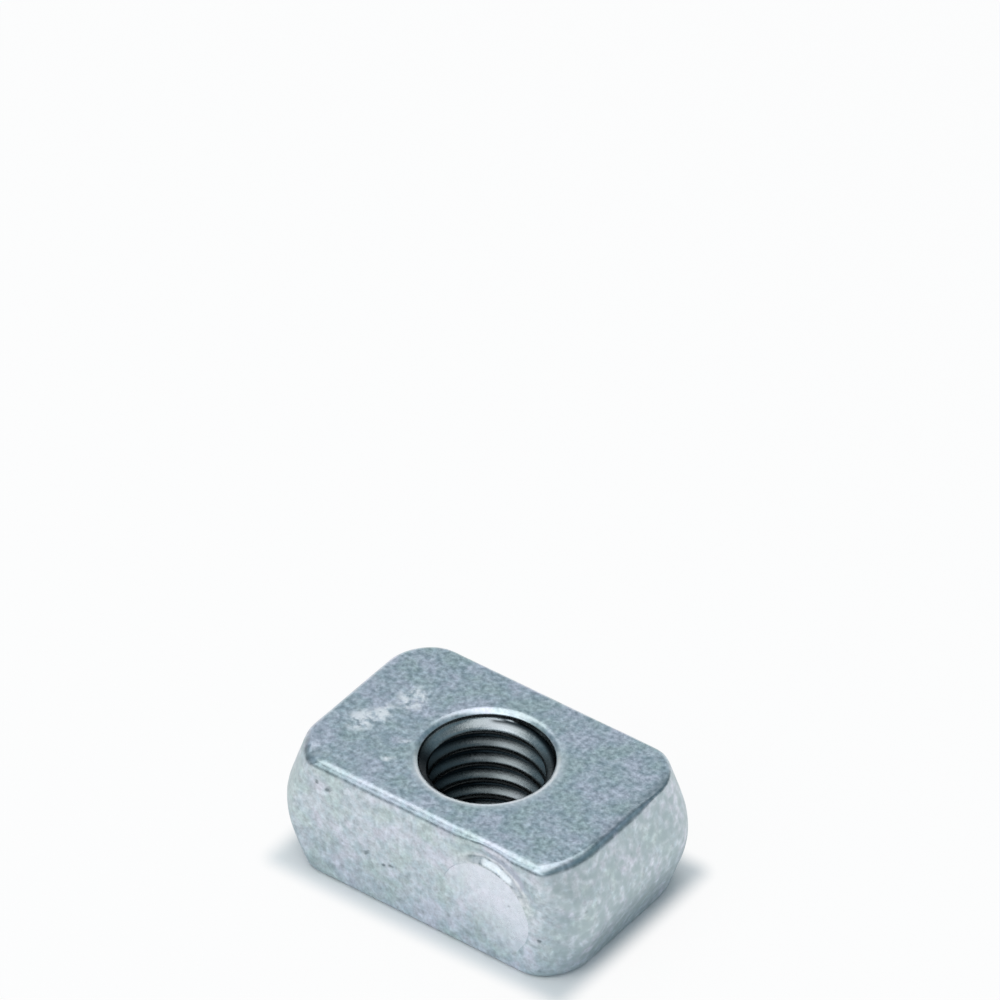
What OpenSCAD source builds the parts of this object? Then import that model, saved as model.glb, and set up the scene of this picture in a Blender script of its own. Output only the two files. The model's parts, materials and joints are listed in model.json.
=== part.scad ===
// Strut wedge nut: a forged steel block with barrelled ends, two flat sides and one tapped hole.
// It lies on its lower face, with its length along X and the hole's axis on Z. Sizes are in millimetres.

/* [Body] */
// Width over the two flat sides
width = 20.6; // [19:0.1:23]
// Thickness between the two flat faces
thickness = 13.2; // [11:0.1:15]
// Length of the flat faces, from end to end
face_length = 31.1; // [28:0.1:35]
// How far each end's ridge stands out past the faces
ridge_reach = 1.7; // [1:0.05:2.4]
// Radius that rounds each end's ridge
ridge_radius = 8.6; // [7:0.1:11]
// Height and depth of the broken edge round both faces
edge_break = 0.25; // [0.1:0.05:0.5]

/* [Corners] */
// Radius of the barrelled corners, measured at the faces
barrel_radius = 4.9; // [4:0.1:6]
// How far the flat sides trim the barrelled corners
side_trim = 0.2; // [0.1:0.05:0.6]
// Radius of the two corners that lead when the nut turns in its channel
lead_radius = 6.2; // [5:0.1:7]
// Radius of the two corners that stop the turn
stop_radius = 3.7; // [3:0.1:5]
// Gap between each ridge and the end of the outline that trims the corners
trim_gap = 0.2; // [0.1:0.05:0.4]

/* [Tapped hole] */
// Diameter inside the crests of the thread
hole_diameter = 10.72; // [9:0.02:12]
// Diameter of the countersink at both faces
mouth_diameter = 13.8; // [12.5:0.1:16]
// Angle between opposite walls of the countersink
mouth_angle = 90; // [80:5:120]

/* [Ground spot] */
// Diameter of the spot where one flat side was ground
spot_diameter = 9.8; // [6:0.1:11]
// Distance of the spot from the hole, along the side
spot_offset = 7.4; // [5:0.1:8]
// Height of the spot's middle above the lower face
spot_height = 5.7; // [5:0.1:7]
// Depth of the spot at its middle
spot_depth = 0.14; // [0.05:0.01:0.25]
// Tilt of the spot, which makes it deeper towards its upper outer edge
spot_tilt = 2; // [0:0.1:4]
// Direction of that edge, measured up from the length of the nut
spot_turn = 50; // [30:1:70]

/* [Hidden] */
$fn = 96;

half_width = width / 2;
half_face = face_length / 2;
half_thickness = thickness / 2;
half_ridge = half_face + ridge_reach;

// Points of a section keep to this grid, so that walls meet exactly where they turn a corner.
grid = 0.001;
function on_grid(value) = round(value / grid) * grid;

// The barrelled wall leans out straight from each face. It would touch a circle just inside the
// ridge's round, so that the round itself crosses it by this much.
ridge_cross = 0.01;
lean_radius = ridge_radius - ridge_cross;
ridge_inset = ridge_radius - ridge_reach;
lean = asin(lean_radius / norm([ridge_inset, half_thickness])) - atan2(ridge_inset, half_thickness);
lean_out = on_grid(lean_radius * cos(lean) - ridge_inset);
lean_up = on_grid(half_thickness - lean_radius * sin(lean));
break_out = on_grid(edge_break * tan(lean));

mouth_depth = (mouth_diameter - hole_diameter) / 2 / tan(mouth_angle / 2);
overshoot = 1;

// Section of a straight wall, from an axis at 0 to `reach`.
module straight_wall(reach) {
    polygon([
        [0, 0],
        [reach - edge_break, 0],
        [reach, edge_break],
        [reach, thickness - edge_break],
        [reach - edge_break, thickness],
        [0, thickness]
    ]);
}

// Section of a barrelled wall, from an axis at 0. It meets the faces at `reach`.
module barrelled_wall(reach) {
    polygon([
        [0, 0],
        [reach - edge_break, 0],
        [reach + break_out, edge_break],
        [reach + lean_out, lean_up],
        [reach + lean_out, thickness - lean_up],
        [reach + break_out, thickness - edge_break],
        [reach - edge_break, thickness],
        [0, thickness]
    ]);
    intersection() {
        translate([reach - ridge_inset, half_thickness])
            circle(ridge_radius);
        translate([reach, 0])
            square([ridge_radius, thickness]);
    }
}

// A quarter of a block: its end wall, its long wall and the corner between them.
module quarter(half_length, half_side, radius, barrelled) {
    module section(reach) {
        if (barrelled) barrelled_wall(reach);
        else straight_wall(reach);
    }
    mirror([0, 1, 0])
        rotate([90, 0, 0])
            linear_extrude(half_side - radius)
                section(half_length);
    rotate([90, 0, 90])
        linear_extrude(half_length - radius)
            section(half_side);
    translate([half_length - radius, half_side - radius, 0])
        rotate_extrude(angle = 90)
            section(radius);
}

// A block with the same corner at opposite ends of each diagonal.
module block(half_length, half_side, radius, other_radius, barrelled) {
    for (turn = [0, 180])
        rotate(turn) {
            quarter(half_length, half_side, radius, barrelled);
            mirror([0, 1, 0])
                quarter(half_length, half_side, other_radius, barrelled);
        }
}

// The blank is barrelled all round, then its sides are made flat and its corners are trimmed.
module blank() {
    intersection() {
        block(half_face, half_width + side_trim, barrel_radius, barrel_radius, true);
        block(half_ridge + trim_gap, half_width, stop_radius, lead_radius, false);
    }
}

module tapped_hole() {
    translate([0, 0, -overshoot])
        cylinder(h = thickness + 2 * overshoot, d = hole_diameter);
    for (up = [0, 1])
        translate([0, 0, up * thickness])
            mirror([0, 0, up])
                countersink();
}

module countersink() {
    flare = 2 * overshoot * tan(mouth_angle / 2);
    translate([0, 0, -overshoot])
        cylinder(h = mouth_depth + overshoot, d1 = mouth_diameter + flare, d2 = hole_diameter);
}

module ground_spot() {
    translate([spot_offset, -half_width, spot_height])
        rotate([90, -spot_turn, 0])
            rotate([0, spot_tilt, 0])
                translate([0, 0, -spot_depth])
                    cylinder(h = overshoot, d = spot_diameter);
}

module wedge_nut() {
    color("lightsteelblue")
        difference() {
            blank();
            tapped_hole();
            ground_spot();
        }
}

wedge_nut();
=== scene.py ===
"""Looks of a strut wedge nut: a forged, zinc plated block with a tapped hole, on a plain pale floor.

The packed part is loaded as a fixed frame. The nut's mesh stands for its CAD solid and keeps that form.
It adds the thread, soft edges, the raised lip of the ground spot and the unevenness that forging leaves.
"""

import json
import math

import bpy
import numpy as np
from bpy.props import FloatProperty, FloatVectorProperty, PointerProperty
from mathutils import Euler, Matrix, Vector


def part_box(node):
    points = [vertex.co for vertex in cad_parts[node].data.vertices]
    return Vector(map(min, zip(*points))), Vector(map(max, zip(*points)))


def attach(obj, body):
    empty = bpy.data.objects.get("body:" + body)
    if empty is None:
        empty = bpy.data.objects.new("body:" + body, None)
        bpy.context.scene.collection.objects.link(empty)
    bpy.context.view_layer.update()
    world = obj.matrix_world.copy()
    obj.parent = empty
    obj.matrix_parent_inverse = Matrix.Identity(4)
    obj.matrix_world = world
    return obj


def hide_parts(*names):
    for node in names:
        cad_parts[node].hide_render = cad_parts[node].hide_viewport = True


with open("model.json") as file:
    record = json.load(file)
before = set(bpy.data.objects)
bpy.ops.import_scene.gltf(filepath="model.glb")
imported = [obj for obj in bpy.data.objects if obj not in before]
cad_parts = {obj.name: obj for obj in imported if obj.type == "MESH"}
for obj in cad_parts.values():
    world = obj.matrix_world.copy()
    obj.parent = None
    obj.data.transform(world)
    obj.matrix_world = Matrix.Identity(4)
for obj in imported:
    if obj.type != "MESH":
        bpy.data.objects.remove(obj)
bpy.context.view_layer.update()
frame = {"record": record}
CAD_LOW, CAD_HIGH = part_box("wedge_nut")
CAD_HOLE = next(mount for mount in frame["record"]["mounts"] if mount["name"] == "tapped_hole")

bl_info = {
    "name": "Strut Wedge Nut",
    "version": (1, 0, 0),
    "blender": (4, 5, 0),
    "location": "View3D > Sidebar > Wedge Nut",
    "description": "Makes a zinc plated strut wedge nut in place of its CAD solid, on a plain studio stage",
    "category": "Object",
}

MM = 1000.0

# Mesh density
COLUMNS = 440
CORNER_DENSITY = 1.4
FACE_ROWS = 15
EDGE_ROWS = 11
WALL_ROWS = 38
MOUTH_ROWS = 10
EDGE_DEPTH = 0.74
BISECTIONS = 34
SPOT_OUTER_RINGS = 16
SPOT_REACH = 6.1


def length(name, description, default):
    """A length in metres that a user may change."""
    return FloatProperty(
        name=name, description=description, default=default, min=0.0, precision=5, unit="LENGTH"
    )


def angle(name, description, degrees):
    """An angle that a user may change, shown in degrees."""
    return FloatProperty(
        name=name, description=description, default=math.radians(degrees), unit="ROTATION"
    )


def colour(name, description, default):
    """A colour that a user may change, in linear red, green and blue."""
    return FloatVectorProperty(
        name=name, description=description, default=default, size=3, min=0.0, max=1.0, subtype="COLOR"
    )


def amount(name, description, default, high=1.0):
    """A plain number that a user may change."""
    return FloatProperty(name=name, description=description, default=default, min=0.0, max=high)


class NutSizes(bpy.types.PropertyGroup):
    """Sizes of the forged block."""

    width: length("Width", "Width over the two flat sides", CAD_HIGH.y - CAD_LOW.y)
    thickness: length("Thickness", "Thickness between the two faces", CAD_HIGH.z - CAD_LOW.z)
    ridge_length: length("Length", "Length over the ridges of both ends", CAD_HIGH.x - CAD_LOW.x)
    ridge_reach: length("Ridge reach", "How far each ridge stands out past the faces", 0.0017)
    ridge_radius: length("Ridge radius", "Radius that rounds each ridge", 0.0086)
    barrel_radius: length("Barrel radius", "Radius of the barrelled corners at the faces", 0.0049)
    side_trim: length("Side trim", "How far the flat sides trim the barrelled corners", 0.0002)
    lead_radius: length("Lead radius", "Radius of the two corners that lead the turn", 0.0062)
    stop_radius: length("Stop radius", "Radius of the two corners that stop the turn", 0.0037)
    trim_gap: length("Trim gap", "Gap between each ridge and the outline that trims the corners", 0.0002)
    kink_radius: length("Kink radius", "Radius of the corner that keeps a kink at the upper face", 0.0092)
    kink_trim: length("Kink trim", "How far the flat side trims that corner there", 0.0029)
    kink_fade: length("Kink fade", "Height over which the kink fades below the face", 0.007)
    kink_round: length("Kink round", "Radius worn on the kink at the upper face", 0.0006)
    upper_round: length("Upper round", "Radius worn round the upper face", 0.0003)
    side_round: length("Side round", "Radius worn there along the side with the ground spot", 0.001)
    end_round: length("End round", "Radius worn there along the end nearest the ground spot", 0.0007)
    lower_round: length("Lower round", "Radius worn round the lower face", 0.00062)
    crease_round: length("Crease round", "Radius worn on the creases of the corners", 0.00025)
    forge_wave: length("Forging wave", "Depth of the unevenness that forging leaves", 0.00003)


class HoleSizes(bpy.types.PropertyGroup):
    """Sizes of the tapped hole."""

    crest_radius: length("Crest radius", "Radius inside the thread's crests", CAD_HOLE["dims"]["r_mm"] / MM)
    root_radius: length("Root radius", "Radius at the thread's roots", 0.00635)
    pitch: length("Pitch", "Distance between the thread's crests", 0.001954)
    crest_depth: length("Crest depth", "Depth of the first full crest below the upper face", 0.00163)
    crest_turn: angle("Crest turn", "Direction of that crest from the hole's axis", 126.79)
    mouth_radius: length("Mouth radius", "Radius where each face starts to round over into the hole", 0.0071)
    mouth_tilt: angle("Mouth tilt", "Slope at which the round-over ends at the thread's roots", 48)
    lead_depth: length("Lead depth", "Depth at which the thread's first turn starts to be full", 0.00075)
    lead_slope: angle("Lead slope", "Slope of the lead that trims the thread's first turn", 30)


class SpotSizes(bpy.types.PropertyGroup):
    """Sizes of the ground spot on one flat side."""

    spot_radius: length("Radius", "Radius of the ground spot", 0.0049)
    spot_offset: length("Offset", "Distance from the hole's axis along the side", 0.0074)
    spot_height: length("Height", "Height of its middle above the lower face", 0.0057)
    spot_depth: length("Depth", "Depth at its middle", 0.00014)
    spot_tilt: angle("Tilt", "Tilt that makes it deeper towards its upper outer edge", 2)
    spot_turn: angle("Turn", "Direction of that edge, up from the nut's length", 50)
    lip_drop: length("Lip drop", "How far the side falls away outside the lip", 0.00052)
    lip_width: length("Lip width", "Width of the slope outside the lip", 0.00049)


class Finishes(bpy.types.PropertyGroup):
    """Colours of the plating, the thread and the stage."""

    plating: colour("Plating", "Main tone of the zinc plating", (0.61, 0.672, 0.727))
    plating_shade: colour("Plating shade", "Darker clouds in the plating", (0.495, 0.585, 0.637))
    lavender: colour("Lavender tint", "Lavender film in the plating", (0.68, 0.66, 0.77))
    sage: colour("Sage tint", "Green film in the plating", (0.55, 0.68, 0.65))
    # Bright metal for real rubbed edges and scuffs, and for painted highlights on the edges, the hole's rim and the
    # ground spot's lip.
    bright_metal: colour("Bright metal", "Edges and specks rubbed bright", (0.92, 0.94, 0.96))
    ground_metal: colour("Ground metal", "Floor of the ground spot", (0.83, 0.86, 0.95))
    # Painted shade: a darker colour on the ends and corners, which stands in for the shade that falls on them.
    end_shade: colour("End walls", "Greyer plating on the forged ends", (0.405, 0.495, 0.52))
    # Dark colour of the real pits and nicks, also used for painted shade in the dents and along the upper face by one
    # end.
    pit_dark: colour("Pits", "Dark bottoms of the pits", (0.16, 0.20, 0.22))
    # The thread's near black colour is painted shade deep in the bore; the lighter flank colour is partly burnish and
    # partly painted light.
    thread_metal: colour("Thread", "Burnished flanks of the thread", (0.345, 0.38, 0.39))
    thread_dark: colour("Thread roots", "Dark plating on the thread's other sides", (0.010, 0.016, 0.020))
    floor: colour("Floor", "Plain pale floor", (0.93, 0.93, 0.93))
    horizon: colour("Horizon", "Studio surroundings at and below the horizon", (1.0, 1.0, 1.0))
    walls: colour("Walls", "Dark walls of the studio, just above the horizon", (0.19, 0.235, 0.255))
    upper: colour("Upper walls", "Paler walls of the studio, higher up", (0.20, 0.31, 0.375))
    overhead: colour("Overhead", "Ceiling of the studio", (0.21, 0.255, 0.28))


class StageSettings(bpy.types.PropertyGroup):
    """Camera and light."""

    azimuth: angle("Azimuth", "Camera's direction round the nut", 36.79)
    elevation: angle("Elevation", "Camera's height above the horizon", 40.71)
    distance: length("Distance", "Camera's distance from the nut's middle", 0.852)
    lens: amount("Lens", "Focal length in millimetres", 333.4, 1000.0)
    place_right: amount("Place across", "Where the nut's middle sits, from the left of the picture", 0.4871)
    place_down: amount("Place down", "Where the nut's middle sits, from the top of the picture", 0.8106)
    overhead_power: amount("Overhead light", "Power of the softbox over the nut, in watts", 2.0, 100.0)
    front_power: amount("Front light", "Power of the long softbox at the front, in watts", 2.2, 100.0)
    floor_glow: amount("Floor glow", "Share of the floor that shows as plain white", 0.92)


GROUPS = {
    "nut_sizes": NutSizes,
    "nut_hole": HoleSizes,
    "nut_spot": SpotSizes,
    "nut_finishes": Finishes,
    "nut_stage": StageSettings,
}


def smooth_step(value):
    """Eases from 0 to 1 as `value` does."""
    value = np.clip(value, 0.0, 1.0)
    return value * value * (3.0 - 2.0 * value)


def soft_ramp(value, bend):
    """Runs from 0 to 1 as `value` does, with a bend of that half width at both ends."""
    low = np.clip(value + bend, 0.0, 2.0 * bend) ** 2 / (4.0 * bend)
    low = np.where(value > bend, value, low)
    high = np.clip(1.0 + bend - value, 0.0, 2.0 * bend) ** 2 / (4.0 * bend)
    return np.where(value > 1.0 - bend, 1.0 - high, low)


def round_max(first, second, radius):
    """The larger of two distances, with a round of that radius where they cross."""
    over = np.hypot(np.maximum(first + radius, 0.0), np.maximum(second + radius, 0.0))
    return np.minimum(np.maximum(first, second), -radius) + over


def outline(x, y, half_x, half_y, radius):
    """Signed distance from a rectangle with round corners."""
    over_x = np.abs(x) - (half_x - radius)
    over_y = np.abs(y) - (half_y - radius)
    outside = np.hypot(np.maximum(over_x, 0.0), np.maximum(over_y, 0.0))
    return outside + np.minimum(np.maximum(over_x, over_y), 0.0) - radius


def ripple(points, wavelength, seed, waves=9):
    """Gentle unevenness between about -1 and 1, made of crossing waves."""
    rng = np.random.default_rng(seed)
    total = np.zeros(len(points))
    for _ in range(waves):
        way = rng.normal(size=3)
        way *= 2.0 * math.pi * rng.uniform(0.7, 1.4) / (wavelength * np.linalg.norm(way))
        total += np.sin(points @ way + rng.uniform(0.0, 2.0 * math.pi))
    return total * (1.2 / waves**0.5 / 2.0)


class NutForm:
    """The nut's form in millimetres, with its lower face at 0 and the hole's axis on Z."""

    # Middle, depth and radius of the pits, as x and z on the side that has the ground spot
    PITS = (
        (-11.8, 11.1, 0.05, 0.30),
        (-10.6, 10.7, 0.07, 0.36),
        (-10.2, 11.1, 0.05, 0.28),
        (-6.3, 5.4, 0.05, 0.32),
        (-5.8, 5.7, 0.04, 0.26),
        (-4.2, 5.0, 0.04, 0.28),
        (-3.3, 5.2, 0.04, 0.30),
        (13.3, 4.6, 0.05, 0.30),
    )

    # Middle, depth and radius of the dents in the upper face
    DENTS = (
        (-13.2, -8.7, 0.10, 0.75),
        (-5.6, -8.3, 0.03, 0.35),
        (11.6, -6.9, 0.04, 0.4),
        (9.6, 6.8, 0.03, 0.35),
    )

    # Middle, length across and width along the nut of the scuffs on the upper face
    SCUFFS = (
        (-10.3, 2.5, 1.9, 1.5),
        (-11.3, -0.8, 1.4, 1.1),
        (-12.3, -2.7, 1.7, 1.3),
        (-7.4, -2.9, 0.5, 0.4),
        (-7.1, -5.7, 0.4, 0.35),
    )

    # Share of a flank that is taken up by the round at each of its ends
    THREAD_BEND = 0.48

    def __init__(self, scene):
        for holder in ("nut_sizes", "nut_hole", "nut_spot"):
            group = getattr(scene, holder)
            for key in GROUPS[holder].__annotations__:
                is_length = group.bl_rna.properties[key].unit == "LENGTH"
                setattr(self, key, getattr(group, key) * (MM if is_length else 1.0))
        self.half_width = self.width / 2.0
        self.half_thickness = self.thickness / 2.0
        self.half_ridge = self.ridge_length / 2.0
        self.half_face = self.half_ridge - self.ridge_reach
        self.ridge_inset = self.ridge_radius - self.ridge_reach
        spread = math.hypot(self.ridge_inset, self.half_thickness)
        self.lean = math.asin(self.ridge_radius / spread) - math.atan2(self.ridge_inset, self.half_thickness)
        self.root_depth = self.root_radius - self.crest_radius
        self.mouth_round = (self.mouth_radius - self.root_radius) / math.sin(self.mouth_tilt)
        self.flank = self.root_depth * math.tan(math.radians(30))
        self.crest_flat = self.pitch * 7.0 / 8.0 - 2.0 * self.flank

    def barrel(self, z):
        """How far the barrelled wall stands out past the faces at height `z`."""
        off = np.abs(z - self.half_thickness)
        ridge = np.sqrt(np.maximum(self.ridge_radius**2 - off**2, 0.0)) - self.ridge_inset
        straight = (self.half_thickness - off) * math.tan(self.lean)
        return np.where(off < self.ridge_radius * math.sin(self.lean), ridge, straight)

    def walls(self, x, y, z):
        """Signed distance from the barrelled ends, trimmed by the flat sides and the corners."""
        kink = self.kink(x, y, z)
        trim = self.side_trim + kink * (self.kink_trim - self.side_trim)
        radius = self.barrel_radius + kink * (self.kink_radius - self.barrel_radius)
        ends = outline(x, y, self.half_face, self.half_width + trim, radius)
        ends = (ends - self.barrel(z)) * math.cos(self.lean)
        corner = np.where(x * y > 0.0, self.stop_radius, self.lead_radius)
        corner = corner + kink * (self.stop_radius - self.lead_radius)
        sides = outline(x, y, self.half_ridge + self.trim_gap, self.half_width, corner)
        return round_max(ends, sides, self.crease_round + kink * (self.kink_round - self.crease_round))

    def kink(self, x, y, z):
        """Where one corner keeps a kink, from 0 at the ridge to 1 at the upper face."""
        shown = smooth_step((z - self.thickness) / self.kink_fade + 1.0)
        return np.where((x > 0.0) & (y < 0.0), shown, 0.0)

    def faces(self, z):
        """Signed distance from the two flat faces."""
        return np.abs(z - self.half_thickness) - self.half_thickness

    def spot_polar(self, x, z):
        """Distance and direction from the middle of the ground spot."""
        return (
            np.hypot(x - self.spot_offset, z - self.spot_height),
            np.arctan2(z - self.spot_height, x - self.spot_offset),
        )

    def lip(self, x, z):
        """How much the lip of the ground spot shows, from 0 to 1, by its direction."""
        turn = np.degrees(self.spot_polar(x, z)[1])
        return smooth_step(1.25 - np.abs(turn - 72.0) / 62.0)

    def hollow(self, x, z):
        """Depth of the hollow outside the lip of the ground spot."""
        away = self.spot_polar(x, z)[0] - self.spot_radius
        turn = np.degrees(self.spot_polar(x, z)[1])
        widen = 1.0 + 0.3 * smooth_step((turn - 52.0) / 30.0)
        away = away - 0.07 - 0.07 * np.sin(0.12 * turn) * np.cos(0.23 * turn)
        broken = smooth_step((62.0 - turn) / 14.0) * (0.5 + 0.5 * np.sin(0.45 * turn))
        widen = widen * (1.0 - 0.18 * broken)
        rise = soft_ramp(away / (self.lip_width * widen), 0.22)
        fall = 1.0 - smooth_step((away - self.lip_width * widen) / 2.0)
        return self.lip_drop * widen * self.lip(x, z) * rise * fall

    def pits(self, x, z):
        """Depth of the pits in the side, and how dark they are from 0 to 1."""
        depth = np.zeros_like(x)
        dark = np.zeros_like(x)
        for pit_x, pit_z, deep, radius in self.PITS:
            near = np.exp(-((x - pit_x) ** 2 + 1.6 * (z - pit_z) ** 2) / radius**2)
            depth += deep * near
            dark = np.maximum(dark, near)
        return depth, dark

    def relief(self, points):
        """Depth that forging, the lip's hollow and pits take off the form."""
        x, y, z = points.T
        wave = 0.65 * ripple(points, 6.5, 11) + 0.35 * ripple(points, 2.3, 12)
        depth = self.forge_wave * (0.5 + 0.5 * np.clip(wave, -1.0, 1.0))
        side = smooth_step((-y - self.half_width + 3.0) / 1.5)
        top = smooth_step((z - self.thickness + 1.5) / 1.0)
        for dent_x, dent_y, deep, radius in self.DENTS:
            depth = depth + top * deep * np.exp(-((x - dent_x) ** 2 + (y - dent_y) ** 2) / radius**2)
        return depth + side * (self.hollow(x, z) + self.pits(x, z)[0])

    def edge_round(self, x, y, z):
        """Radius worn on the edge of the nearer face, larger along the side and the end by the ground spot."""
        at_side = smooth_step((-y - self.half_width + 4.0) / 2.5)
        at_end = smooth_step((x - self.half_face + 2.8) / 1.6) * smooth_step((5.0 - y) / 4.0)
        upper = self.upper_round + at_side * (self.side_round - self.upper_round)
        upper = upper + at_end * (self.end_round - upper)
        return np.where(z > self.half_thickness, upper, self.lower_round)

    def distance(self, points):
        """Signed distance from the form without its hole, less than 0 inside."""
        x, y, z = points.T
        edge = self.edge_round(x, y, z)
        return round_max(self.walls(x, y, z), self.faces(z), edge) + self.relief(points)

    def reach(self, starts, ways, far):
        """The points where rays from inside the nut leave its form."""
        near = np.zeros(len(starts))
        far = np.full(len(starts), float(far))
        for _ in range(BISECTIONS):
            middle = (near + far) / 2.0
            inside = self.distance(starts + ways * middle[:, None]) < 0.0
            near = np.where(inside, middle, near)
            far = np.where(inside, far, middle)
        return starts + ways * near[:, None]

    def thread(self, along):
        """Radius of the thread at a distance along the axis from the middle of a crest."""
        off = np.abs((along / self.pitch + 0.5) % 1.0 - 0.5) * self.pitch
        run = (off - self.crest_flat / 2.0) / self.flank
        return self.crest_radius + self.root_depth * soft_ramp(run, self.THREAD_BEND)

    def crest_start(self):
        """Height of a crest's middle where the helix starts, on the X axis."""
        return self.thickness - self.crest_depth - self.pitch * self.crest_turn / (2.0 * math.pi)

    def lead(self, z):
        """Radius of the leads that trim the thread's first turn, at height `z`."""
        deep = np.minimum(z, self.thickness - z) - self.lead_depth
        return self.root_radius - np.maximum(deep, 0.0) / math.tan(self.lead_slope)


class Skin:
    """Gathers the points and faces of one mesh."""

    def __init__(self):
        self.points = []
        self.count = 0
        self.faces = []
        self.finish = []

    def add(self, points):
        """Adds points, and returns their numbers."""
        self.points.append(points)
        numbers = np.arange(self.count, self.count + len(points))
        self.count += len(points)
        return numbers

    def quads(self, a, b, c, d, finish):
        """Adds faces between four equal lists of point numbers. A side of no length is left out."""
        for corners in np.stack([np.ravel(side) for side in (a, b, c, d)], axis=1).tolist():
            face = [number for i, number in enumerate(corners) if number != corners[i - 1]]
            if len(face) > 2:
                self.faces.append(face)
                self.finish.append(finish)

    def bands(self, rings, finish):
        """Joins rings of points, which run anticlockwise, each to the next."""
        for low, high in zip(rings, rings[1:]):
            self.quads(low, np.roll(low, -1), np.roll(high, -1), high, finish)


def column_angles(form):
    """Directions of the mesh's columns round the axis, closer together at the corners."""
    fine = np.linspace(0.0, 2.0 * math.pi, 8001)
    spokes = np.column_stack([np.cos(fine), np.sin(fine), np.zeros_like(fine)])
    starts = np.zeros_like(spokes)
    starts[:, 2] = form.half_thickness
    edge = form.reach(starts, spokes, form.ridge_length)
    middle = np.abs((edge[1:] + edge[:-1]) / 2.0)
    corner = smooth_step((middle[:, 0] - 10.5) / 1.5) * smooth_step((middle[:, 1] - 4.5) / 1.5)
    run = np.linalg.norm(np.diff(edge, axis=0), axis=1) * (1.0 + CORNER_DENSITY * corner)
    run = np.concatenate([[0.0], np.cumsum(run)])
    return np.interp(np.arange(COLUMNS) / COLUMNS * run[-1], run, fine)


def face_rings(form, angles, up):
    """Rings of one face, from inside the hole's mouth out to its edge and round that."""
    spokes = np.column_stack([np.cos(angles), np.sin(angles), np.zeros_like(angles)])
    rise = np.array([0.0, 0.0, 1.0 if up else -1.0])
    middle = np.array([0.0, 0.0, form.half_thickness])
    lifted = np.broadcast_to(rise, spokes.shape)
    far = form.ridge_length

    def on_face(radius):
        return form.reach(middle + spokes * np.reshape(radius, (-1, 1)), lifted, far)

    rings = []
    for tilt in np.linspace(form.mouth_tilt, 0.0, MOUTH_ROWS):
        radius = form.mouth_radius - form.mouth_round * math.sin(tilt)
        drop = form.mouth_round * (1.0 - math.cos(tilt))
        rings.append(on_face(np.full(len(angles), radius)) - rise * drop)
    level = middle + spokes * 0.0 + rise * form.half_thickness
    flat_form = form.walls
    rim = np.zeros(len(angles))
    span = np.full(len(angles), far)
    for _ in range(BISECTIONS):
        test = (rim + span) / 2.0
        x, y, z = (level + spokes * test[:, None]).T
        inside = flat_form(x, y, z) < 0.0
        rim = np.where(inside, test, rim)
        span = np.where(inside, span, test)
    inner = form.mouth_radius
    for share in np.linspace(0.0, 1.0, FACE_ROWS + 1)[1:-1]:
        rings.append(on_face(inner + (rim - EDGE_DEPTH - inner) * share))
    knees = spokes * (rim - EDGE_DEPTH)[:, None] + middle + rise * (form.half_thickness - EDGE_DEPTH)
    for tilt in np.linspace(math.pi / 2.0, 0.0, EDGE_ROWS):
        rings.append(form.reach(knees, spokes * math.cos(tilt) + rise * math.sin(tilt), far))
    return rings


def wall_rings(form, angles):
    """Rings of the wall between the two rounded edges, from low to high."""
    spokes = np.column_stack([np.cos(angles), np.sin(angles), np.zeros_like(angles)])
    rings = []
    for z in np.linspace(EDGE_DEPTH, form.thickness - EDGE_DEPTH, WALL_ROWS + 2)[1:-1]:
        rings.append(form.reach(np.zeros_like(spokes) + [0.0, 0.0, z], spokes, form.ridge_length))
    return rings


def thread_rows(form):
    """Places along one pitch for the thread's rows, from the middle of a crest, close at each bend."""
    bend = form.THREAD_BEND * form.flank
    top = form.crest_flat / 2.0
    foot = top + form.flank
    half = [top - bend, top - 0.4 * bend, top, top + 0.4 * bend, top + 0.5 * form.flank]
    half += [foot - 0.4 * bend, foot, form.pitch / 2.0 - 0.01]
    return np.array([-place for place in reversed(half)] + half)


def cut_bore(skin, form, angles, low_ring, high_ring, finish):
    """Cuts the tapped bore between the two mouths, with rows that follow the right-hand helix."""
    low = np.concatenate(skin.points)[low_ring]
    high = np.concatenate(skin.points)[high_ring]
    places = thread_rows(form)
    crest = form.crest_start()
    first = math.floor((low[:, 2].min() - form.pitch - crest) / form.pitch) - 1
    last = math.ceil((high[:, 2].max() - crest) / form.pitch) + 1
    along = np.concatenate([crest + turn * form.pitch + places for turn in range(first, last + 1)])
    climb = form.pitch * angles / (2.0 * math.pi)
    z = along[:, None] + climb[None, :]
    radius = np.maximum(form.thread(along - crest)[:, None], form.lead(z))
    points = np.stack([radius * np.cos(angles), radius * np.sin(angles), z], axis=-1)
    gap = 0.02
    below = z <= low[:, 2] + gap
    above = z >= high[:, 2] - gap
    numbers = np.empty(z.shape, dtype=int)
    between = ~(below | above)
    numbers[between] = skin.add(points[between])
    numbers[below] = np.broadcast_to(low_ring, z.shape)[below]
    numbers[above] = np.broadcast_to(high_ring, z.shape)[above]
    seam = np.concatenate([numbers[len(places):, 0], np.full(len(places), high_ring[0])])
    ahead = np.column_stack([numbers[:, 1:], seam])
    skin.quads(numbers[:-1], numbers[1:], ahead[1:], ahead[:-1], finish)


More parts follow.
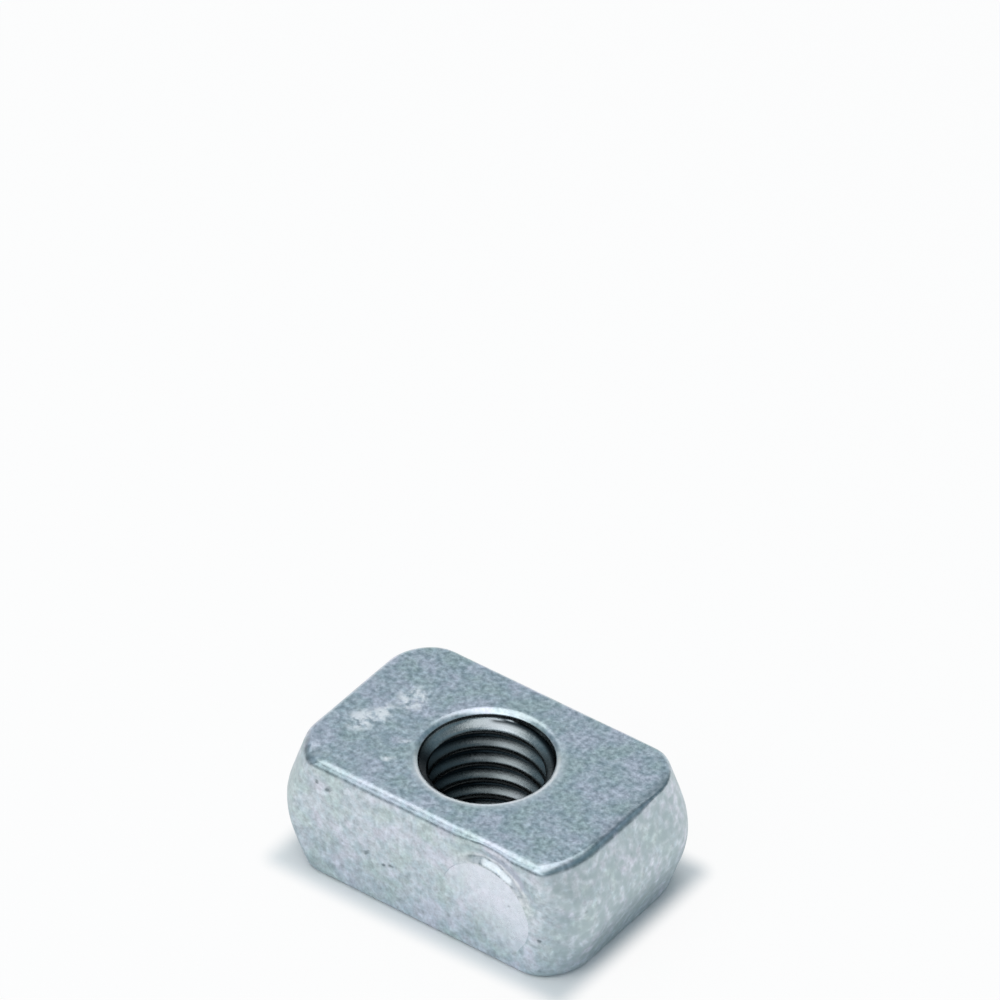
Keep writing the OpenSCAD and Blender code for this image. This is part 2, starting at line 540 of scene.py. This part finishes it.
def grind_spot(skin, form, rings, finish):
    """Fills the gap left in the side with rings round the ground spot, so that its rim is a true circle."""
    points = np.concatenate(skin.points)
    grid = np.array(rings)
    low, high = grid[0], grid[-1]
    side = points[grid[len(grid) // 2]]
    inside = (side[:, 1] < 0.0) & (np.abs(side[:, 0] - form.spot_offset) < SPOT_REACH)
    left, right = np.flatnonzero(inside)[[0, -1]]
    loop = np.concatenate([
        low[left:right],
        grid[:-1, right],
        high[left + 1:right + 1][::-1],
        grid[1:, left][::-1],
    ])
    x, z = points[loop][:, 0], points[loop][:, 2]
    away, turn = form.spot_polar(x, z)
    inward = np.array([0.0, -1.0, 0.0])

    def on_side(distance):
        spread_x = form.spot_offset + distance * np.cos(turn)
        spread_z = form.spot_height + distance * np.sin(turn)
        starts = np.column_stack([spread_x, np.full_like(spread_x, -form.half_width / 2.0), spread_z])
        return form.reach(starts, np.broadcast_to(inward, starts.shape), form.half_width)

    made = [loop]
    for share in (np.arange(SPOT_OUTER_RINGS - 1, -1, -1) / SPOT_OUTER_RINGS) ** 1.8:
        made.append(skin.add(on_side(form.spot_radius + (away - form.spot_radius) * share)))
    for step in (0.03, 0.08, 0.16, 0.3, 0.6, 1.2, 2.0, 3.0, 4.0, 4.6):
        ring = on_side(np.full(len(loop), form.spot_radius - step))
        ring[:, 1] = np.maximum(ring[:, 1], spot_floor(form, ring[:, 0], ring[:, 2]))
        made.append(skin.add(ring))
    skin.bands(made, finish)
    middle = np.array([[form.spot_offset, 0.0, form.spot_height]])
    middle[:, 1] = spot_floor(form, middle[:, 0], middle[:, 2])
    last = made[-1]
    hub = np.full(len(last), skin.add(middle)[0])
    skin.quads(last, np.roll(last, -1), hub, hub, finish)
    return left, right


def spot_floor(form, x, z):
    """Where the floor of the ground spot lies across the nut."""
    along = (x - form.spot_offset) * math.cos(form.spot_turn) + (z - form.spot_height) * math.sin(form.spot_turn)
    return form.spot_depth - form.half_width + along * math.tan(form.spot_tilt)


def skin_of_nut(form):
    """The whole skin of the nut: both faces, the wall with its ground spot, and the tapped bore."""
    angles = column_angles(form)
    skin = Skin()
    low = [skin.add(ring) for ring in face_rings(form, angles, False)]
    wall = [skin.add(ring) for ring in wall_rings(form, angles)]
    high = [skin.add(ring) for ring in face_rings(form, angles, True)]
    belt = [low[-1], *wall, high[-1]]
    left, right = grind_spot(skin, form, belt, 0)
    for one, other in zip(belt, belt[1:]):
        keep = np.ones(COLUMNS, dtype=bool)
        keep[left:right] = False
        skin.quads(one[keep], np.roll(one, -1)[keep], np.roll(other, -1)[keep], other[keep], 0)
    skin.bands(low, 0)
    skin.bands(high[::-1], 0)
    cut_bore(skin, form, angles, low[0], high[0], 1)
    return skin


def wear_of(form, points):
    """What the finishes read from the mesh: where it is worn, ground, scuffed or pitted, and where highlights and
    shade are painted: on the edges, the hole's rim, the lip, the ends, the dents, the upper face by one end and in the
    thread.
    """
    x, y, z = points.T
    around = np.hypot(x, y)
    outside = around > form.root_radius + 0.01
    # Real wear on the edges with a painted highlight: strongest along the upper edge of the side with the ground spot
    # and the end by it, weakest along the other upper edges.
    deep = -np.minimum(form.walls(x, y, z), 0.0) - np.minimum(form.faces(z), 0.0)
    worn = (form.edge_round(x, y, z) - form.upper_round) / (form.side_round - form.upper_round)
    edge = np.where(outside, smooth_step(1.0 - deep / 0.75), 0.0) * (0.25 + 0.75 * worn)
    turn = np.arctan2(y, x)
    far_side = np.cos(turn - form.crest_turn)
    near_side = smooth_step(0.5 - far_side)
    # Partly real wear and partly a painted highlight: the mouth's rim is brightened, widest and strongest on its near
    # side.
    rim = smooth_step((form.mouth_radius - around) / (0.08 + 0.26 * near_side) + 1.0)
    rim = np.where(outside, rim * (0.2 + 0.8 * near_side), 0.0)
    # Painted shade: how far the wall faces along the nut, so that the ends and corners are painted darker.
    step = 0.01
    slope_x = form.walls(x + step, y, z) - form.walls(x - step, y, z)
    slope_y = form.walls(x, y + step, z) - form.walls(x, y - step, z)
    end = np.abs(slope_x) / np.hypot(slope_x, slope_y)
    end = smooth_step((end - 0.18) / 0.6) * smooth_step(-form.faces(z) / 0.5)
    away = form.spot_polar(x, z)[0] - form.spot_radius
    on_side = smooth_step((-y - form.half_width + 1.2) / 0.6)
    # Painted highlight: the crescent of the ground spot's lip is made bright.
    lip = form.lip(x, z) * smooth_step(1.0 - np.abs(away - 0.35) / 0.75) * on_side
    cut = spot_floor(form, x, z) + form.half_width
    ground = smooth_step(1.0 + (-away - 0.1) / 0.06) * smooth_step((cut - 0.02) / 0.2) * on_side
    scuff = np.zeros_like(x)
    for mark_x, mark_y, mark_length, mark_width in form.SCUFFS:
        mark = np.hypot((x - mark_x) / mark_width, (y - mark_y) / mark_length)
        scuff = np.maximum(scuff, smooth_step(1.6 - 1.2 * mark))
    pit_and_shade = form.pits(x, z)[1] * on_side
    on_top = smooth_step((z - form.thickness + 0.3) / 0.2)
    # Painted shade: the dents are darkened in proportion to their depth.
    for dent_x, dent_y, dent_deep, dent_radius in form.DENTS:
        stain = np.exp(-((x - dent_x) ** 2 + (y - dent_y) ** 2) / dent_radius**2)
        pit_and_shade = np.maximum(pit_and_shade, on_top * stain * min(dent_deep / 0.16, 1.0))
    # Painted shade along the edge of the upper face at the end by the ground spot.
    end_edge_shade = smooth_step((x - form.half_face + 2.4) / 2.2) * smooth_step((y + 7.0) / 3.0)
    pit_and_shade = np.maximum(pit_and_shade, 0.5 * on_top * end_edge_shade)
    # Partly burnish, partly painted light: the upper flanks are lightened, most on the far side of the hole and on one
    # side of it, and the lead's flank on the far side.
    climb = form.pitch * (turn % (2.0 * math.pi)) / (2.0 * math.pi)
    above = ((z - form.crest_start() - climb) / form.pitch + 0.5) % 1.0 - 0.5
    burnish_and_painted_light = smooth_step((above + 0.06) / 0.12) * smooth_step((0.40 - above) / 0.12)
    across = np.sin(form.crest_turn - turn)
    uneven = 1.2 + 0.7 * across - 0.5 * np.exp(-((across / 0.16) ** 2))
    burnish_and_painted_light *= 1.0 + (0.4 * uneven - 1.0) * smooth_step((np.minimum(z, form.thickness - z) - 1.5) / 1.2)
    on_lead = smooth_step((form.lead(z) - around + 0.08) / 0.08)
    burnish_and_painted_light += on_lead * (smooth_step((far_side - 0.1) / 0.6) - burnish_and_painted_light)
    burnish_and_painted_light *= 0.25 + 0.75 * smooth_step((far_side + 0.1) / 0.8)
    return {
        "edge_wear_and_highlight": edge,
        "rim_wear_and_highlight": rim,
        "lip": lip,
        "shaded_ends": np.where(outside, end, 0.0),
        "ground": ground,
        "scuff": scuff * on_top,
        "pit_and_shade": pit_and_shade,
        "burnish_and_painted_light": burnish_and_painted_light,
    }


class Tree:
    """Adds nodes to a shader tree from left to right and joins them."""

    def __init__(self, tree):
        self.tree = tree
        self.tree.nodes.clear()

    def node(self, kind, inputs=None, **settings):
        """Adds one node. An input's value is a plain value, or the socket that feeds it."""
        made = self.tree.nodes.new(kind)
        made.location = (180.0 * len(self.tree.nodes), 0.0)
        for key, value in settings.items():
            setattr(made, key, value)
        for key, value in (inputs or {}).items():
            if isinstance(value, bpy.types.NodeSocket):
                self.tree.links.new(value, made.inputs[key])
            else:
                made.inputs[key].default_value = value
        return made

    def mix(self, share, first, second):
        """Colour that runs from the first to the second as `share` goes from 0 to 1."""
        return self.node("ShaderNodeMix", {0: share, 6: first, 7: second}, data_type="RGBA").outputs[2]

    def math(self, operation, first, second=0.0):
        """Result of one sum."""
        return self.node("ShaderNodeMath", {0: first, 1: second}, operation=operation).outputs[0]

    def span(self, value, low, high, to_low=0.0, to_high=1.0):
        """Takes a value from one span to another, eased at both ends."""
        inputs = {"Value": value, "From Min": low, "From Max": high, "To Min": to_low, "To Max": to_high}
        return self.node("ShaderNodeMapRange", inputs, interpolation_type="SMOOTHSTEP").outputs["Result"]

    def noise(self, vector, scale, detail=2.0, roughness=0.5):
        """Soft noise at that many grains to the metre."""
        inputs = {"Vector": vector, "Scale": scale, "Detail": detail, "Roughness": roughness}
        return self.node("ShaderNodeTexNoise", inputs).outputs["Fac"]

    def attribute(self, name):
        """Value that the mesh carries under that name."""
        return self.node("ShaderNodeAttribute", attribute_type="GEOMETRY", attribute_name=name).outputs["Fac"]


def new_group(name, inputs, outputs):
    """A shader node group with those named sockets, and its input and output nodes."""
    group = bpy.data.node_groups.new(name, "ShaderNodeTree")
    tree = Tree(group)
    kinds = {"float": "NodeSocketFloat", "colour": "NodeSocketColor", "vector": "NodeSocketVector"}
    for label, kind in inputs:
        group.interface.new_socket(name=label, in_out="INPUT", socket_type=kinds[kind])
    for label, kind in outputs:
        group.interface.new_socket(name=label, in_out="OUTPUT", socket_type=kinds[kind])
    return tree, tree.node("NodeGroupInput").outputs, tree.node("NodeGroupOutput").inputs


def plating_clouds():
    """Group: tone of the plating, with clouds, two thin tints and fine flecks."""
    tree, given, result = new_group(
        "Plating clouds",
        [
            ("Vector", "vector"),
            ("Cloud scale", "float"),
            ("Fleck scale", "float"),
            ("Fleck strength", "float"),
            ("Tone", "colour"),
            ("Shade", "colour"),
            ("First tint", "colour"),
            ("Second tint", "colour"),
            ("Tint strength", "float"),
        ],
        [("Color", "colour"), ("Fleck", "float")],
    )
    cloud = tree.noise(given["Vector"], given["Cloud scale"], 3.0, 0.6)
    wide = tree.math("MULTIPLY", given["Cloud scale"], 0.36)
    film = tree.noise(given["Vector"], wide, 2.0, 0.55)
    fleck = tree.noise(given["Vector"], given["Fleck scale"], 2.5, 0.6)
    tone = tree.mix(tree.span(cloud, 0.36, 0.62), given["Shade"], given["Tone"])
    first = tree.math("MULTIPLY", tree.span(film, 0.50, 0.66), given["Tint strength"])
    second = tree.math("MULTIPLY", tree.span(film, 0.50, 0.34), given["Tint strength"])
    tone = tree.mix(first, tone, given["First tint"])
    tone = tree.mix(second, tone, given["Second tint"])
    spread = tree.math("MULTIPLY", tree.math("SUBTRACT", fleck, 0.5), given["Fleck strength"])
    stain = tree.math("MULTIPLY", tree.math("SUBTRACT", film, 0.5), 0.3)
    lift = tree.math("ADD", tree.math("ADD", spread, stain), 1.0)
    scaled = tree.node("ShaderNodeVectorMath", {0: tone}, operation="SCALE")
    tree.tree.links.new(lift, scaled.inputs["Scale"])
    tree.tree.links.new(scaled.outputs[0], result["Color"])
    tree.tree.links.new(fleck, result["Fleck"])
    return tree.tree


def tumbled_grain():
    """Group: height of the fine pebbled skin that tumbling and plating leave, and of sparse small nicks."""
    tree, given, result = new_group(
        "Tumbled grain",
        [("Vector", "vector"), ("Grain scale", "float"), ("Nick scale", "float")],
        [("Height", "float"), ("Nicks", "float")],
    )
    coarse = tree.noise(given["Vector"], given["Grain scale"], 2.0, 0.55)
    fine = tree.noise(given["Vector"], tree.math("MULTIPLY", given["Grain scale"], 2.7), 1.0, 0.5)
    cells = tree.node("ShaderNodeTexVoronoi", {"Vector": given["Vector"], "Scale": given["Nick scale"]})
    picked = tree.node("ShaderNodeSeparateColor", {"Color": cells.outputs["Color"]}).outputs["Red"]
    nick = tree.math("MULTIPLY", tree.span(cells.outputs["Distance"], 0.22, 0.06), tree.span(picked, 0.94, 0.96))
    height = tree.math("ADD", coarse, tree.math("MULTIPLY", fine, 0.25))
    height = tree.math("SUBTRACT", height, tree.math("MULTIPLY", nick, 0.8))
    tree.tree.links.new(height, result["Height"])
    tree.tree.links.new(nick, result["Nicks"])
    return tree.tree


def rubbed_edges_and_highlights():
    """Group: where edges are rubbed bright and a highlight is painted on them, broken up by noise."""
    tree, given, result = new_group(
        "Rubbed edges and highlights", [("Vector", "vector"), ("Breakup scale", "float")], [("Mask", "float")]
    )
    noise = tree.noise(given["Vector"], given["Breakup scale"], 2.0, 0.6)
    worn = tree.math("ADD", tree.attribute("edge_wear_and_highlight"), tree.math("MULTIPLY", tree.math("SUBTRACT", noise, 0.5), 0.5))
    tree.tree.links.new(tree.span(worn, 0.25, 0.8), result["Mask"])
    return tree.tree


def place_group(tree, group, **values):
    """Puts a node group into a material with its own values."""
    made = tree.node("ShaderNodeGroup", node_tree=group)
    for key, value in values.items():
        socket = made.inputs[key.replace("_", " ").capitalize()]
        if isinstance(value, bpy.types.NodeSocket):
            tree.tree.links.new(value, socket)
        else:
            socket.default_value = value
    return made.outputs


def rgba(value):
    """A colour property as a socket's value."""
    return (*value, 1.0)


def new_material(name):
    """A material with an empty tree and its output node."""
    material = bpy.data.materials.new(name)
    material.use_nodes = True
    tree = Tree(material.node_tree)
    return material, tree, tree.node("ShaderNodeOutputMaterial")


def plated_faces(colours, clouds, grain, edges):
    """Material of the forged and plated skin, with painted highlights and shade in its colour."""
    material, tree, output = new_material("zinc_plated_faces")
    here = tree.node("ShaderNodeTexCoord").outputs["Object"]
    skin = place_group(
        tree, clouds, vector=here, cloud_scale=1000.0, fleck_scale=1900.0, fleck_strength=1.1,
        tone=rgba(colours.plating), shade=rgba(colours.plating_shade), first_tint=rgba(colours.lavender),
        second_tint=rgba(colours.sage), tint_strength=0.45,
    )
    pebbles = place_group(tree, grain, vector=here, grain_scale=1600.0, nick_scale=900.0)
    rubbed_and_highlight = place_group(tree, edges, vector=here, breakup_scale=1300.0)["Mask"]
    ground = tree.attribute("ground")
    pit_and_shade = tree.attribute("pit_and_shade")
    rim = tree.attribute("rim_wear_and_highlight")
    speckle = tree.span(tree.noise(here, 1100.0, 3.0, 0.65), 0.36, 0.64)
    scuff = tree.math("MULTIPLY", tree.attribute("scuff"), speckle)
    # Painted shade on the ends and corners, broken into streaks.
    streaks = tree.span(tree.noise(here, 1150.0, 1.5, 0.45), 0.27, 0.73, 1.0, 0.0)
    end_shade = tree.math("MULTIPLY", tree.attribute("shaded_ends"), streaks)
    tone = tree.mix(tree.math("MULTIPLY", end_shade, 0.95), skin["Color"], rgba(colours.end_shade))
    # Rubbed edges and the hole's rim: real wear and a painted highlight.
    tone = tree.mix(tree.math("MULTIPLY", rubbed_and_highlight, 0.95), tone, rgba(colours.bright_metal))
    tone = tree.mix(tree.math("MULTIPLY", rim, 0.45), tone, rgba(colours.bright_metal))
    # Painted highlight on the crescent of the ground spot's lip.
    lip = tree.math("MULTIPLY", tree.attribute("lip"), tree.span(skin["Fleck"], 0.35, 0.6, 0.35, 0.95))
    tone = tree.mix(lip, tone, rgba(colours.bright_metal))
    tone = tree.mix(tree.math("MULTIPLY", ground, 0.6), tone, rgba(colours.ground_metal))
    tone = tree.mix(tree.math("MULTIPLY", scuff, 0.95), tone, rgba(colours.bright_metal))
    tone = tree.mix(tree.math("MULTIPLY", pebbles["Nicks"], 0.3), tone, rgba(colours.pit_dark))
    # Real pits, and painted shade in the dents and along the upper face's end edge.
    tone = tree.mix(tree.math("MULTIPLY", tree.span(pit_and_shade, 0.22, 0.75), 0.85), tone, rgba(colours.pit_dark))
    rough = tree.span(skin["Fleck"], 0.3, 0.7, 0.30, 0.40)
    rough = tree.math("SUBTRACT", rough, tree.math("MULTIPLY", rubbed_and_highlight, 0.06))
    rough = tree.math("SUBTRACT", rough, tree.math("MULTIPLY", ground, 0.06))
    rough = tree.math("ADD", rough, tree.math("MULTIPLY", scuff, 0.3))
    rough = tree.math("ADD", rough, tree.math("MULTIPLY", lip, 0.14))
    worn = tree.math("MAXIMUM", tree.attribute("edge_wear_and_highlight"), rim)
    calm = tree.math("MAXIMUM", tree.math("MULTIPLY", ground, 0.75), worn)
    calm = tree.math("SUBTRACT", 1.0, calm)
    height = tree.math("MULTIPLY", pebbles["Height"], calm)
    height = tree.math("ADD", height, tree.math("MULTIPLY", scuff, 1.1))
    bump = tree.node("ShaderNodeBump", {"Strength": 0.5, "Distance": 0.00003, "Height": height})
    shader = tree.node(
        "ShaderNodeBsdfPrincipled",
        {"Base Color": tone, "Metallic": 1.0, "Roughness": rough, "Normal": bump.outputs["Normal"]},
    )
    tree.tree.links.new(shader.outputs["BSDF"], output.inputs["Surface"])
    return material


def plated_thread(colours, clouds, grain):
    """Material of the thread: near black painted shade, but for the flanks that bolts have burnished, which are also
    painted light where they catch the light.
    """
    material, tree, output = new_material("zinc_plated_thread")
    here = tree.node("ShaderNodeTexCoord").outputs["Object"]
    skin = place_group(
        tree, clouds, vector=here, cloud_scale=500.0, fleck_scale=3400.0, fleck_strength=0.3,
        tone=rgba(colours.thread_metal), shade=rgba(colours.thread_metal), first_tint=rgba(colours.lavender),
        second_tint=rgba(colours.sage), tint_strength=0.1,
    )
    pebbles = place_group(tree, grain, vector=here, grain_scale=4200.0, nick_scale=1300.0)
    # Painted shade: the thread is near black but for the flanks painted light.
    tone = tree.mix(tree.attribute("burnish_and_painted_light"), rgba(colours.thread_dark), skin["Color"])
    rough = tree.span(skin["Fleck"], 0.3, 0.7, 0.24, 0.34)
    bump = tree.node("ShaderNodeBump", {"Strength": 0.4, "Distance": 0.00002, "Height": pebbles["Height"]})
    shader = tree.node(
        "ShaderNodeBsdfPrincipled",
        {"Base Color": tone, "Metallic": 1.0, "Roughness": rough, "Normal": bump.outputs["Normal"]},
    )
    tree.tree.links.new(shader.outputs["BSDF"], output.inputs["Surface"])
    return material


class NUT_OT_make_nut(bpy.types.Operator):
    """Make the plated nut and let it stand for the CAD solid"""

    bl_idname = "nut.make_nut"
    bl_label = "Make Wedge Nut"

    def execute(self, context):
        form = NutForm(context.scene)
        skin = skin_of_nut(form)
        points = np.concatenate(skin.points)
        used = np.unique(np.concatenate([np.array(face) for face in skin.faces]))
        number = np.full(len(points), -1)
        number[used] = np.arange(len(used))
        points = points[used]
        mesh = bpy.data.meshes.new("wedge_nut_plated")
        mesh.from_pydata((points / MM).tolist(), [], [number[face].tolist() for face in skin.faces])
        if mesh.validate():
            raise RuntimeError("the nut's mesh has faulty faces")
        mesh.polygons.foreach_set("material_index", skin.finish)
        mesh.shade_smooth()
        for name, values in wear_of(form, points).items():
            layer = mesh.attributes.new(name, "FLOAT", "POINT")
            layer.data.foreach_set("value", values.astype(np.float32))
        clouds, grain = plating_clouds(), tumbled_grain()
        mesh.materials.append(plated_faces(context.scene.nut_finishes, clouds, grain, rubbed_edges_and_highlights()))
        mesh.materials.append(plated_thread(context.scene.nut_finishes, clouds, grain))
        nut = bpy.data.objects.new("wedge_nut_plated", mesh)
        context.scene.collection.objects.link(nut)
        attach(nut, "root")
        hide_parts("wedge_nut")
        return {"FINISHED"}


def softbox(scene, name, place, target, size, power):
    """A studio light of that width and height, which faces the nut."""
    lamp = bpy.data.lights.new(name, "AREA")
    lamp.shape = "RECTANGLE"
    lamp.size, lamp.size_y = size
    lamp.energy = power
    box = bpy.data.objects.new(name, lamp)
    box.location = place
    box.rotation_euler = (Vector(target) - Vector(place)).to_track_quat("-Z", "Y").to_euler()
    scene.collection.objects.link(box)


def lay_floor(scene, colours, glow):
    """A plain pale floor, which shows as white and keeps the nut's shadow."""
    half = 2.0
    corners = [(-half, -half, 0.0), (half, -half, 0.0), (half, half, 0.0), (-half, half, 0.0)]
    mesh = bpy.data.meshes.new("floor")
    mesh.from_pydata(corners, [], [(0, 1, 2, 3)])
    material, tree, output = new_material("pale_floor")
    path = tree.node("ShaderNodeLightPath").outputs
    mirrored = tree.math("MAXIMUM", path["Is Glossy Ray"], path["Is Transmission Ray"])
    here = tree.node("ShaderNodeTexCoord").outputs["Object"]
    flat = tree.node("ShaderNodeVectorMath", {0: here}, operation="ABSOLUTE").outputs[0]
    foot = (CAD_HIGH.x - scene.nut_sizes.ridge_reach, CAD_HIGH.y, 0.0)
    clear = tree.node("ShaderNodeVectorMath", {0: flat, 1: foot}, operation="SUBTRACT").outputs[0]
    clear = tree.node("ShaderNodeVectorMath", {0: clear, 1: (0.0, 0.0, 0.0)}, operation="MAXIMUM").outputs[0]
    clear = tree.node("ShaderNodeVectorMath", {0: clear}, operation="LENGTH").outputs["Value"]
    seen = tree.math("MULTIPLY", path["Is Camera Ray"], tree.span(clear, 0.0, 0.0028, 0.0, glow))
    mirrored = tree.math("MULTIPLY", mirrored, tree.span(clear, 0.0, 0.009, 0.0, glow))
    share = tree.math("MAXIMUM", seen, mirrored)
    paint = tree.node("ShaderNodeBsdfDiffuse", {"Color": rgba(colours.floor)})
    white = tree.node("ShaderNodeEmission", {"Color": (1.0, 1.0, 1.0, 1.0), "Strength": 1.0})
    both = tree.node("ShaderNodeMixShader", {0: share, 1: paint.outputs[0], 2: white.outputs[0]})
    tree.tree.links.new(both.outputs[0], output.inputs["Surface"])
    mesh.materials.append(material)
    floor = bpy.data.objects.new("floor", mesh)
    scene.collection.objects.link(floor)


def surround(scene, colours):
    """Studio surroundings: white at and below the horizon, grey higher up."""
    world = bpy.data.worlds.new("studio")
    world.use_nodes = True
    tree = Tree(world.node_tree)
    way = tree.node("ShaderNodeTexCoord").outputs["Generated"]
    height = tree.node("ShaderNodeSeparateXYZ", {0: way}).outputs["Z"]
    tone = tree.mix(tree.span(height, 0.03, 0.13), rgba(colours.horizon), rgba(colours.walls))
    turn = scene.nut_stage.azimuth
    back = tree.node("ShaderNodeVectorMath", {0: way, 1: (-math.sin(turn), math.cos(turn), 0.0)}, operation="DOT_PRODUCT")
    tone = tree.mix(tree.span(back.outputs["Value"], 0.66, 0.80), tone, rgba(colours.horizon))
    tone = tree.mix(tree.span(height, 0.40, 0.62), tone, rgba(colours.upper))
    tone = tree.mix(tree.span(height, 0.68, 0.86), tone, rgba(colours.overhead))
    sky = tree.node("ShaderNodeBackground", {"Color": tone, "Strength": 1.0})
    output = tree.node("ShaderNodeOutputWorld")
    tree.tree.links.new(sky.outputs["Background"], output.inputs["Surface"])
    scene.world = world


def set_camera(scene, stage):
    """The camera, aimed so that the nut sits low in the picture without a lens shift."""
    lens = bpy.data.cameras.new("camera")
    lens.lens = stage.lens
    lens.sensor_width = 36.0
    lens.clip_start = 0.01
    lens.clip_end = 20.0
    camera = bpy.data.objects.new("camera", lens)
    turn, rise = stage.azimuth, stage.elevation
    back = Vector((math.sin(turn) * math.cos(rise), -math.cos(turn) * math.cos(rise), math.sin(rise)))
    middle = (CAD_LOW + CAD_HIGH) / 2.0
    half_view = lens.sensor_width / 2.0 / lens.lens
    pitch = math.atan((stage.place_down - 0.5) * 2.0 * half_view)
    yaw = math.atan((stage.place_right - 0.5) * 2.0 * half_view)
    facing = Matrix.Rotation(turn, 3, "Z") @ Matrix.Rotation(math.pi / 2.0 - rise, 3, "X")
    aim = facing @ Euler((pitch, yaw, 0.0)).to_matrix()
    camera.matrix_world = Matrix.Translation(middle + back * stage.distance) @ aim.to_4x4()
    scene.collection.objects.link(camera)
    scene.camera = camera


class NUT_OT_set_stage(bpy.types.Operator):
    """Set up the floor, the surroundings, the lights and the camera"""

    bl_idname = "nut.set_stage"
    bl_label = "Set Stage"

    def execute(self, context):
        scene = context.scene
        stage = scene.nut_stage
        colours = scene.nut_finishes
        middle = (CAD_LOW + CAD_HIGH) / 2.0
        lay_floor(scene, colours, stage.floor_glow)
        surround(scene, colours)
        softbox(scene, "overhead_softbox", (-0.06, -0.04, 0.62), middle, (0.82, 0.58), stage.overhead_power)
        softbox(scene, "front_softbox", (0.06, -0.66, 0.66), middle, (1.3, 0.42), stage.front_power)
        set_camera(scene, stage)
        scene.view_settings.view_transform = "Standard"
        return {"FINISHED"}


class NUT_PT_panel(bpy.types.Panel):
    """Lists the sizes, the finishes and the two steps that make the picture"""

    bl_idname = "NUT_PT_panel"
    bl_label = "Strut Wedge Nut"
    bl_space_type = "VIEW_3D"
    bl_region_type = "UI"
    bl_category = "Wedge Nut"

    def draw(self, context):
        for holder, group in GROUPS.items():
            box = self.layout.box()
            box.label(text=group.__doc__)
            for key in group.__annotations__:
                box.prop(getattr(context.scene, holder), key)
        self.layout.operator(NUT_OT_make_nut.bl_idname)
        self.layout.operator(NUT_OT_set_stage.bl_idname)


CLASSES = (*GROUPS.values(), NUT_OT_make_nut, NUT_OT_set_stage, NUT_PT_panel)


def register():
    """Registers the classes, and puts their sizes and colours on the scene."""
    for cls in CLASSES:
        bpy.utils.register_class(cls)
    for holder, group in GROUPS.items():
        setattr(bpy.types.Scene, holder, PointerProperty(type=group))


def unregister():
    """Takes the sizes, colours and classes away again."""
    for holder in GROUPS:
        delattr(bpy.types.Scene, holder)
    for cls in reversed(CLASSES):
        bpy.utils.unregister_class(cls)


def main():
    """Makes the nut and its stage."""
    register()
    bpy.ops.nut.make_nut()
    bpy.ops.nut.set_stage()


if __name__ == "__main__":
    main()
